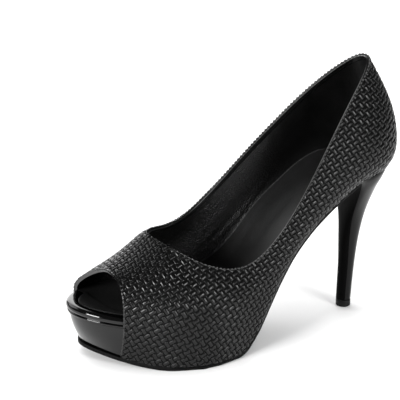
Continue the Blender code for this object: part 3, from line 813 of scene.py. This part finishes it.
@dataclass
class FoldedEdge:
    """The leather turned over a rim of the upper, with the weave's strands pressed flat on it.

    Sizes in millimetres. step is the length of a facet, pitch and slant the length and the lean of
    the strands that cross the fold, and push and rest make their wave square and wide. The shell is
    followed outward and inward from the rim, and edge faces that look down more than bottom belong
    to the lower edge. Edges sharper than crisp, in degrees, aren't shaded smooth.
    """

    upper: Upper
    run: Run
    stations: tuple[Station, ...]
    pitch: float = 2.4
    slant: float = 0.9
    step: float = 0.4
    push: float = 1.6
    rest: float = 0.3
    outward: float = 2.5
    inward: float = 8.0
    bottom: float = -0.6
    crisp: float = 60.0

    def build(self) -> None:
        """Follows the rim, lays the fold over it and closes it underneath."""
        rim = bmesh.new()
        rim.from_mesh(self.upper.shell.data)
        loop = self.rim_loop(rim)
        columns = [c for c in (self.column(vert) for vert in loop) if c is not None]
        rim.free()
        closed = self.run is Run.TOPLINE
        tracks = [np.array(track) for track in zip(*columns)]
        if closed:
            tracks = [np.concatenate([track, track[:1]]) for track in tracks]
        # The rim's length is measured on top of it, about a third of the way round the outline.
        length = lengths(tracks[0][:, len(self.stations) // 3])
        count = int(round(length[-1] / self.step))
        spots = np.linspace(0, length[-1], count + 1)
        if closed:
            spots = spots[:-1]
        places, normals, reach = (self.resample(length, track, spots) for track in tracks)
        lift = np.array([station.lift for station in self.stations])
        strand = np.array([station.strand for station in self.stations])
        turns = max(1, round(length[-1] / self.pitch))
        phase = spots[:, None] / length[-1] * turns + reach * self.slant / self.pitch
        wave = np.sin(2 * math.pi * phase)
        lift = lift + strand * np.clip(self.push * wave + self.rest, -1.0, 1.0)
        points = (places + normals * lift[:, :, None]) * MM
        piece = self.tube(points, closed)
        dress(piece, EDGE_LEATHER)
        smooth(piece, self.crisp)
        hand_over(piece, Slot.UPPER)

    @staticmethod
    def resample(length: np.ndarray, rows: np.ndarray, spots: np.ndarray) -> np.ndarray:
        """Reads rows at new places along the rim.

        Args:
            length: the place of each row.
            rows: what is there.
            spots: the new places.

        Returns:
            The rows at the new places.
        """
        flat = rows.reshape(len(rows), -1)
        made = np.stack([np.interp(spots, length, flat[:, k]) for k in range(flat.shape[1])], axis=1)
        return made.reshape(len(spots), *rows.shape[1:])

    def rim_loop(self, rim: BMesh) -> list[BMVert]:
        """Finds the rim's outer corner, in order.

        Args:
            rim: the shell.

        Returns:
            The points of the corner.
        """
        pair = {Zone.OUTSIDE.value, Zone.EDGE.value}
        edges = [e for e in rim.edges if {f.material_index for f in e.link_faces} == pair]
        beside: dict[BMVert, list[BMVert]] = {}
        for edge in edges:
            beside.setdefault(edge.verts[0], []).append(edge.verts[1])
            beside.setdefault(edge.verts[1], []).append(edge.verts[0])
        outermost = max if self.run is Run.TOPLINE else min
        start = outermost(beside, key=lambda v: v.co.z)
        loop = [start, beside[start][0]]
        while True:
            nxt = [v for v in beside[loop[-1]] if v is not loop[-2]][0]
            if nxt is start:
                break
            loop.append(nxt)
        if self.run is Run.PEEP:
            loop = [v for v in loop if self.faces_forward(v)]
        return loop

    def faces_forward(self, vert: BMVert) -> bool:
        """Tells a point of the peep or the wings from one of the lower edge."""
        edges = [f for f in vert.link_faces if f.material_index == Zone.EDGE.value]
        return all(f.normal.z > self.bottom for f in edges)

    def column(self, vert: BMVert) -> tuple[np.ndarray, np.ndarray, np.ndarray] | None:
        """Follows the shell from the outside over the rim and down the lining at one point.

        Args:
            vert: a point of the rim's outer corner.

        Returns:
            Places and normals of the stations and how far they lie along the path, or nothing
            where the shell's faces don't run straight over the rim.
        """
        ways = {}
        for edge in vert.link_edges:
            zones = {f.material_index for f in edge.link_faces}
            if len(zones) == 1:
                ways[zones.pop()] = edge
        if len(vert.link_edges) != 4 or set(ways) != {Zone.OUTSIDE.value, Zone.EDGE.value}:
            return None
        out = walk(vert, ways[Zone.OUTSIDE.value], self.outward * MM)
        inn = walk(vert, ways[Zone.EDGE.value], self.inward * MM)
        if out is None or inn is None:
            return None
        path = out[::-1] + [vert] + inn
        points = np.array([v.co for v in path]) / MM
        normals = np.array([v.normal for v in path])
        length = lengths(points)
        length -= length[len(out)]
        lined = [any(f.material_index == Zone.LINING.value for f in v.link_faces) for v in path]
        if True not in lined:
            return None
        width = length[lined.index(True)]
        reach = np.array([station.reach(width) for station in self.stations])
        places = self.resample(length, points, reach)
        facing = self.resample(length, normals, reach)
        return places, facing / np.linalg.norm(facing, axis=1)[:, None], reach

    def tube(self, points: np.ndarray, closed: bool) -> Object:
        """Joins the outlines along the rim.

        Args:
            points: the outlines, one row each.
            closed: whether the last outline joins the first.

        Returns:
            The piece.
        """
        rows, columns = points.shape[:2]
        faces: list[tuple[int, ...]] = []
        for r in range(rows if closed else rows - 1):
            for c in range(columns):
                a, b = r * columns, ((r + 1) % rows) * columns
                faces.append((a + c, a + (c + 1) % columns, b + (c + 1) % columns, b + c))
        if not closed:
            faces.append(tuple(range(columns))[::-1])
            faces.append(tuple((rows - 1) * columns + c for c in range(columns)))
        piece = made_of(f"{self.run.value}_fold", points.reshape(-1, 3), faces)
        bpy.ops.object.mode_set(mode="EDIT")
        bpy.ops.mesh.select_all(action="SELECT")
        bpy.ops.mesh.normals_make_consistent(inside=False)
        bpy.ops.object.mode_set(mode="OBJECT")
        return piece


def walk(vert: BMVert, edge: BMEdge, far: float) -> list[BMVert] | None:
    """Walks straight over a mesh of four-sided faces.

    Args:
        vert: where the walk starts.
        edge: the first edge to follow.
        far: how long the walk is, in metres.

    Returns:
        The points after the start, or nothing where the way isn't straight.
    """
    found: list[BMVert] = []
    gone = 0.0
    while True:
        gone += edge.calc_length()
        vert = edge.other_vert(vert)
        found.append(vert)
        if gone >= far:
            return found
        faces = set(edge.link_faces)
        onward = [e for e in vert.link_edges if not faces & set(e.link_faces)]
        if len(onward) != 1:
            return None
        edge = onward[0]


# The topline's leather is turned over the rim and meets the lining in a groove along its middle.
# The strands cross the outer roll, so that it glints in short strokes, and the lining in a plain line.
TOPLINE_FOLD = (
    Station(-0.15, down=-0.70), Station(0.06, down=-0.55, strand=0.12),
    Station(0.20, down=-0.2, strand=0.28), Station(0.24, strand=0.30),
    Station(0.14, across=0.25, strand=0.26), Station(-0.30, across=0.44),
    Station(-0.30, across=0.56), Station(0.14, across=0.72), Station(0.30, across=1.0),
    Station(0.26, down=0.4), Station(0.22, down=1.4), Station(0.22, down=2.6), Station(0.18, down=3.3),
    Station(-0.12, down=3.5), Station(-0.5, down=1.6), Station(-0.8, across=0.5),
    Station(-0.5, down=-0.4),
)
# The peep's leather is turned over in the same way and cut short inside.
PEEP_FOLD = (
    Station(-0.15, down=-0.7), Station(0.10, down=-0.55), Station(0.24, down=-0.2, strand=0.12),
    Station(0.30, strand=0.12), Station(0.14, across=0.3), Station(0.12, across=0.7),
    Station(0.32, across=1.0), Station(0.28, down=0.4), Station(0.22, down=1.4),
    Station(-0.12, down=1.6), Station(-0.35, down=0.7), Station(-0.6, across=0.5),
    Station(-0.35, down=-0.4),
)


@dataclass
class SockEdge:
    """The insole cover's turned edge: a thin roll that follows the lining. Sizes in millimetres.

    Level rays look for the lining from the shoe's middle: one at each step from front to the heel's
    centre, and a fan of turns there. They run probe over the insole, which is felt from above, and
    are set again on each of the passes.
    """

    upper: Upper
    sock: Object
    wall: BVHTree = field(init=False)
    bed: BVHTree = field(init=False)
    radius: float = 0.45
    inset: float = 0.25
    rise: float = 0.05
    front: float = -46.0
    heel_centre: float = 62.0
    step: float = 2.0
    turns: int = 30
    probe: float = 0.7
    above: float = 200.0
    passes: int = 3
    crisp: float = 60.0

    def build(self) -> None:
        """Finds where the insole meets the lining and sweeps the roll along it."""
        self.wall = tree_of(self.upper.shell.data)
        self.bed = tree_of(self.sock.data)
        straight = np.arange(self.front, self.heel_centre, self.step)
        rays = [((0.0, y), (-1.0, 0.0)) for y in straight]
        for angle in np.linspace(math.pi, 0.0, self.turns):
            rays.append(((0.0, self.heel_centre), (math.cos(angle), math.sin(angle))))
        rays += [((0.0, y), (1.0, 0.0)) for y in straight[::-1]]
        found = [self.meeting(np.array(origin), np.array(way)) for origin, way in rays]
        path = np.array([spot for spot in found if spot is not None])
        # Each point moves halfway to the middle of its neighbours, so that the roll runs evenly.
        path[1:-1] = (path[:-2] + 2 * path[1:-1] + path[2:]) / 4
        piece = sweep("insole_edge_roll", path * MM, self.radius * MM)
        # The roll's lighter grey is a painted highlight.
        dress(piece, SOCK_EDGE_PAINTED_HIGHLIGHT)
        smooth(piece, self.crisp)
        hand_over(piece, Slot.INSOLE)

    def bed_height(self, spot: np.ndarray) -> float | None:
        """Gives the insole's height at a place, or nothing beside it."""
        hit = self.bed.ray_cast(Vector((*spot, self.above)), Vector((0, 0, -1)))[0]
        return None if hit is None else hit.z

    def meeting(self, origin: np.ndarray, way: np.ndarray) -> np.ndarray | None:
        """Finds the insole's edge against the lining along a level ray.

        Args:
            origin: where the ray starts over the insole.
            way: its direction.

        Returns:
            The middle of the roll there, or nothing.
        """
        height = self.bed_height(origin)
        for _ in range(self.passes):
            if height is None:
                return None
            hit = self.wall.ray_cast(Vector((*origin, height + self.probe)), Vector((*way, 0.0)))
            if hit[0] is None:
                return None
            spot = origin + way * (hit[3] - self.radius - self.inset)
            height = self.bed_height(spot)
        return None if height is None else np.array([*spot, height + self.rise])


def sweep(name: str, path: np.ndarray, radius: float) -> Object:
    """Sweeps a round section along an open path.

    Args:
        name: the piece's name.
        path: the path's points in metres.
        radius: the section's radius in metres.

    Returns:
        The piece.
    """
    curve = bpy.data.curves.new(name, "CURVE")
    curve.dimensions = "3D"
    curve.bevel_depth = radius
    curve.bevel_resolution = ROUNDS
    curve.use_fill_caps = True
    spline = curve.splines.new("POLY")
    spline.points.add(len(path) - 1)
    weighted = np.concatenate([path, np.ones((len(path), 1))], axis=1)
    spline.points.foreach_set("co", weighted.ravel())
    linked(name, curve)
    bpy.ops.object.convert(target="MESH")
    return bpy.context.object


@dataclass
class Underworks:
    """The insole, the platform, the lip round the toe and the outsole.

    Edges sharper than crisp, in degrees, aren't shaded smooth.
    """

    crisp: float = 45.0
    plans: tuple[Plan, ...] = (
        Plan("insole", "insole_cover", INSOLE_LEATHER, Slot.INSOLE, crease=0.75),
        Plan("toe_lip", "toe_lip_roll", PATENT_LEATHER, Slot.LIP, angle=60.0),
        Plan("platform", "platform_cover", PATENT_LEATHER, Slot.PLATFORM, crease=0.95),
        Plan("outsole", "outsole_slab", SOLE_RUBBER, Slot.OUTSOLE),
    )

    def build(self, upper: Upper) -> None:
        """Copies, rounds and dresses each solid, and edges the insole.

        Args:
            upper: the upper that the insole lies in.
        """
        for plan in self.plans:
            piece = copy_of(plan)
            rounded(piece)
            if plan.slot is Slot.INSOLE:
                self.crease_insole(piece.data)
            dress(piece, plan.finish)
            smooth(piece, self.crisp)
            hand_over(piece, plan.slot, plan.node)
            if plan.slot is Slot.INSOLE:
                SockEdge(upper, piece).build()

    @staticmethod
    def crease_insole(mesh: Mesh) -> None:
        """Presses the listed waves into the insole's upper face.

        Args:
            mesh: the insole's mesh.
        """
        points = points_of(mesh) / MM
        lift = sum(crease.lift(points) for crease in INSOLE_CREASES)
        top = np.array([v.normal.z for v in mesh.vertices]) > FACING_UP
        shift(mesh, np.where(top, lift, 0.0))


@dataclass
class Heel:
    """The lacquered heel and its tip. Sizes in millimetres.

    The breast is the heel's front face, and breast_length how far its crisp edges run down. Edges
    sharper than crisp, in degrees, aren't shaded smooth.
    """

    breast_length: float = 78.0
    breast_crease: float = 0.45
    crisp: float = 60.0
    shaft: Plan = Plan("heel", "heel_shaft", HEEL_LACQUER, Slot.HEEL, angle=60.0, crease=0.95)
    tip: Plan = Plan("heel_tip", "heel_tip_cap", TIP_RUBBER, Slot.TIP)

    def build(self) -> None:
        """Copies, rounds and dresses the heel, whose breast takes the dull copy that paints shade, and
        its tip.
        """
        for plan in (self.shaft, self.tip):
            piece = copy_of(plan)
            finishes = [plan.finish]
            if plan is self.shaft:
                self.edge_breast(piece)
                # The breast's dull copy of the lacquer is painted shade.
                finishes.append(HEEL_BREAST_PAINTED_SHADE)
            rounded(piece)
            dress(piece, *finishes)
            smooth(piece, self.crisp)
            hand_over(piece, plan.slot, plan.node)

    def edge_breast(self, heel: Object) -> None:
        """Creases the edges between the breast and the sides, and tells the breast's faces apart.

        Args:
            heel: the copy of the heel.
        """
        for _ in (HEEL_LACQUER, HEEL_BREAST_PAINTED_SHADE):
            heel.data.materials.append(None)
        shape = bmesh.new()
        shape.from_mesh(heel.data)
        crease = shape.edges.layers.float["crease_edge"]
        for side in (-1, 1):
            corner = max(shape.verts, key=lambda v: side * v.co.x)
            first = min(corner.link_edges, key=lambda e: e.other_vert(corner).co.z)
            path = [corner, *(walk(corner, first, self.breast_length * MM) or [])]
            for upper, lower in zip(path, path[1:]):
                shape.edges.get((upper, lower))[crease] = self.breast_crease
        heights = [v.co.z for v in reversed(path)]
        depths = [v.co.y for v in reversed(path)]
        # Faces in front of the breast's edges that don't face up take the painted shade.
        for face in shape.faces:
            middle = face.calc_center_median()
            front = middle.y < np.interp(middle.z, heights, depths)
            face.material_index = int(front and face.normal.z < FACING_UP)
        shape.to_mesh(heel.data)
        shape.free()


def toward(azimuth: float, elevation: float) -> Vector:
    """Gives the direction from the shoe to where something stands.

    Args:
        azimuth: degrees round the shoe, from the toe to its outer side.
        elevation: degrees over the floor.

    Returns:
        The direction.
    """
    a, e = math.radians(azimuth), math.radians(elevation)
    return Vector((math.sin(a) * math.cos(e), -math.cos(a) * math.cos(e), math.sin(e)))


@dataclass(frozen=True)
class LightBox:
    """A soft box that faces the shoe: its direction in degrees, sizes in metres, power in watts."""

    name: str
    azimuth: float
    elevation: float
    distance: float
    size: float
    power: float

    def hang(self, centre: Vector) -> Object:
        """Hangs the box.

        Args:
            centre: the point that it faces.

        Returns:
            The light.
        """
        way = toward(self.azimuth, self.elevation)
        lamp = bpy.data.lights.new(self.name, "AREA")
        lamp.shape = "SQUARE"
        lamp.size = self.size
        lamp.energy = self.power
        box = linked(self.name, lamp)
        box.location = centre + way * self.distance
        box.rotation_mode = "QUATERNION"
        box.rotation_quaternion = way.to_track_quat("Z", "Y")
        return box


@dataclass
class Studio:
    """The paper floor, the lights and the camera. Sizes in metres, angles in degrees.

    The lens and the sensor are in millimetres. The camera looks past its aim, by aim_left and aim_up.
    """

    azimuth: float = 59.25
    elevation: float = 20.47
    distance: float = 1.16262
    lens: float = 180.98
    sensor: float = 36.0
    clip: tuple[float, float] = (0.05, 50.0)
    aim: tuple[float, float, float] = (0.00013, -0.00055, 0.080)
    aim_left: float = 0.02173
    aim_up: float = 0.00132
    floor: float = 12.0
    floor_cells: int = 4
    room_light: float = 0.10
    paper: Object = field(init=False)

    def build(self) -> None:
        """Sets the floor, the lights, the world and the camera."""
        self.set_floor()
        self.set_lights()
        self.set_camera()

    def set_floor(self) -> None:
        """Lays the paper."""
        bpy.ops.object.select_all(action="DESELECT")
        bpy.ops.mesh.primitive_grid_add(
            x_subdivisions=self.floor_cells, y_subdivisions=self.floor_cells, size=self.floor)
        self.paper = bpy.context.object
        self.paper.name = "paper_floor"
        dress(self.paper, FLOOR_PAPER)

    def set_lights(self) -> None:
        """Stands soft boxes beside the camera and behind the shoe, and one for the paper alone."""
        boxes = (
            LightBox("toe_box", self.azimuth - 42, 18, 1.3, 0.42, 21.0),
            LightBox("heel_box", self.azimuth + 46, 15, 1.3, 0.45, 14.0),
            LightBox("rim_box", self.azimuth - 170, 16, 1.8, 1.4, 15.0),
            LightBox("fill_box", self.azimuth - 121, 34, 1.6, 1.0, 8.0),
        )
        for box in boxes:
            box.hang(Vector(self.aim))
        paper = LightBox("paper_box", self.azimuth + 180, 75, 2.0, 2.4, 44.0).hang(Vector(self.aim))
        group = bpy.data.collections.new("lit_paper")
        group.objects.link(self.paper)
        paper.light_linking.receiver_collection = group
        world = bpy.data.worlds.new("dim_room")
        world.use_nodes = True
        room = world.node_tree.nodes["Background"]
        room.inputs["Color"].default_value = linear("ffffff")
        room.inputs["Strength"].default_value = self.room_light
        bpy.context.scene.world = world
        bpy.context.scene.view_settings.view_transform = "Standard"

    def set_camera(self) -> None:
        """Sets the camera at the photograph's angle."""
        a, e = math.radians(self.azimuth), math.radians(self.elevation)
        right = Vector((math.cos(a), math.sin(a), 0))
        up = Vector((-math.sin(a) * math.sin(e), math.cos(a) * math.sin(e), math.cos(e)))
        back = toward(self.azimuth, self.elevation)
        centre = Vector(self.aim)
        data = bpy.data.cameras.new("camera")
        data.lens = self.lens
        data.sensor_width = self.sensor
        data.clip_start, data.clip_end = self.clip
        camera = linked("camera", data)
        camera.location = centre + back * self.distance
        target = centre - right * self.aim_left + up * self.aim_up
        camera.rotation_mode = "QUATERNION"
        camera.rotation_quaternion = (target - camera.location).to_track_quat("-Z", "Y")
        bpy.context.scene.camera = camera


def main() -> None:
    """Builds the shoe's pieces in order, then the studio."""
    logging.basicConfig(level=logging.INFO, format="%(name)s: %(message)s")
    upper = Upper()
    upper.build()
    skin = Skin(upper)
    skin.unfold()
    Weave(skin).build()
    FoldedEdge(upper, Run.TOPLINE, TOPLINE_FOLD).build()
    FoldedEdge(upper, Run.PEEP, PEEP_FOLD).build()
    Underworks().build(upper)
    Heel().build()
    Studio().build()


if __name__ == "__main__":
    main()
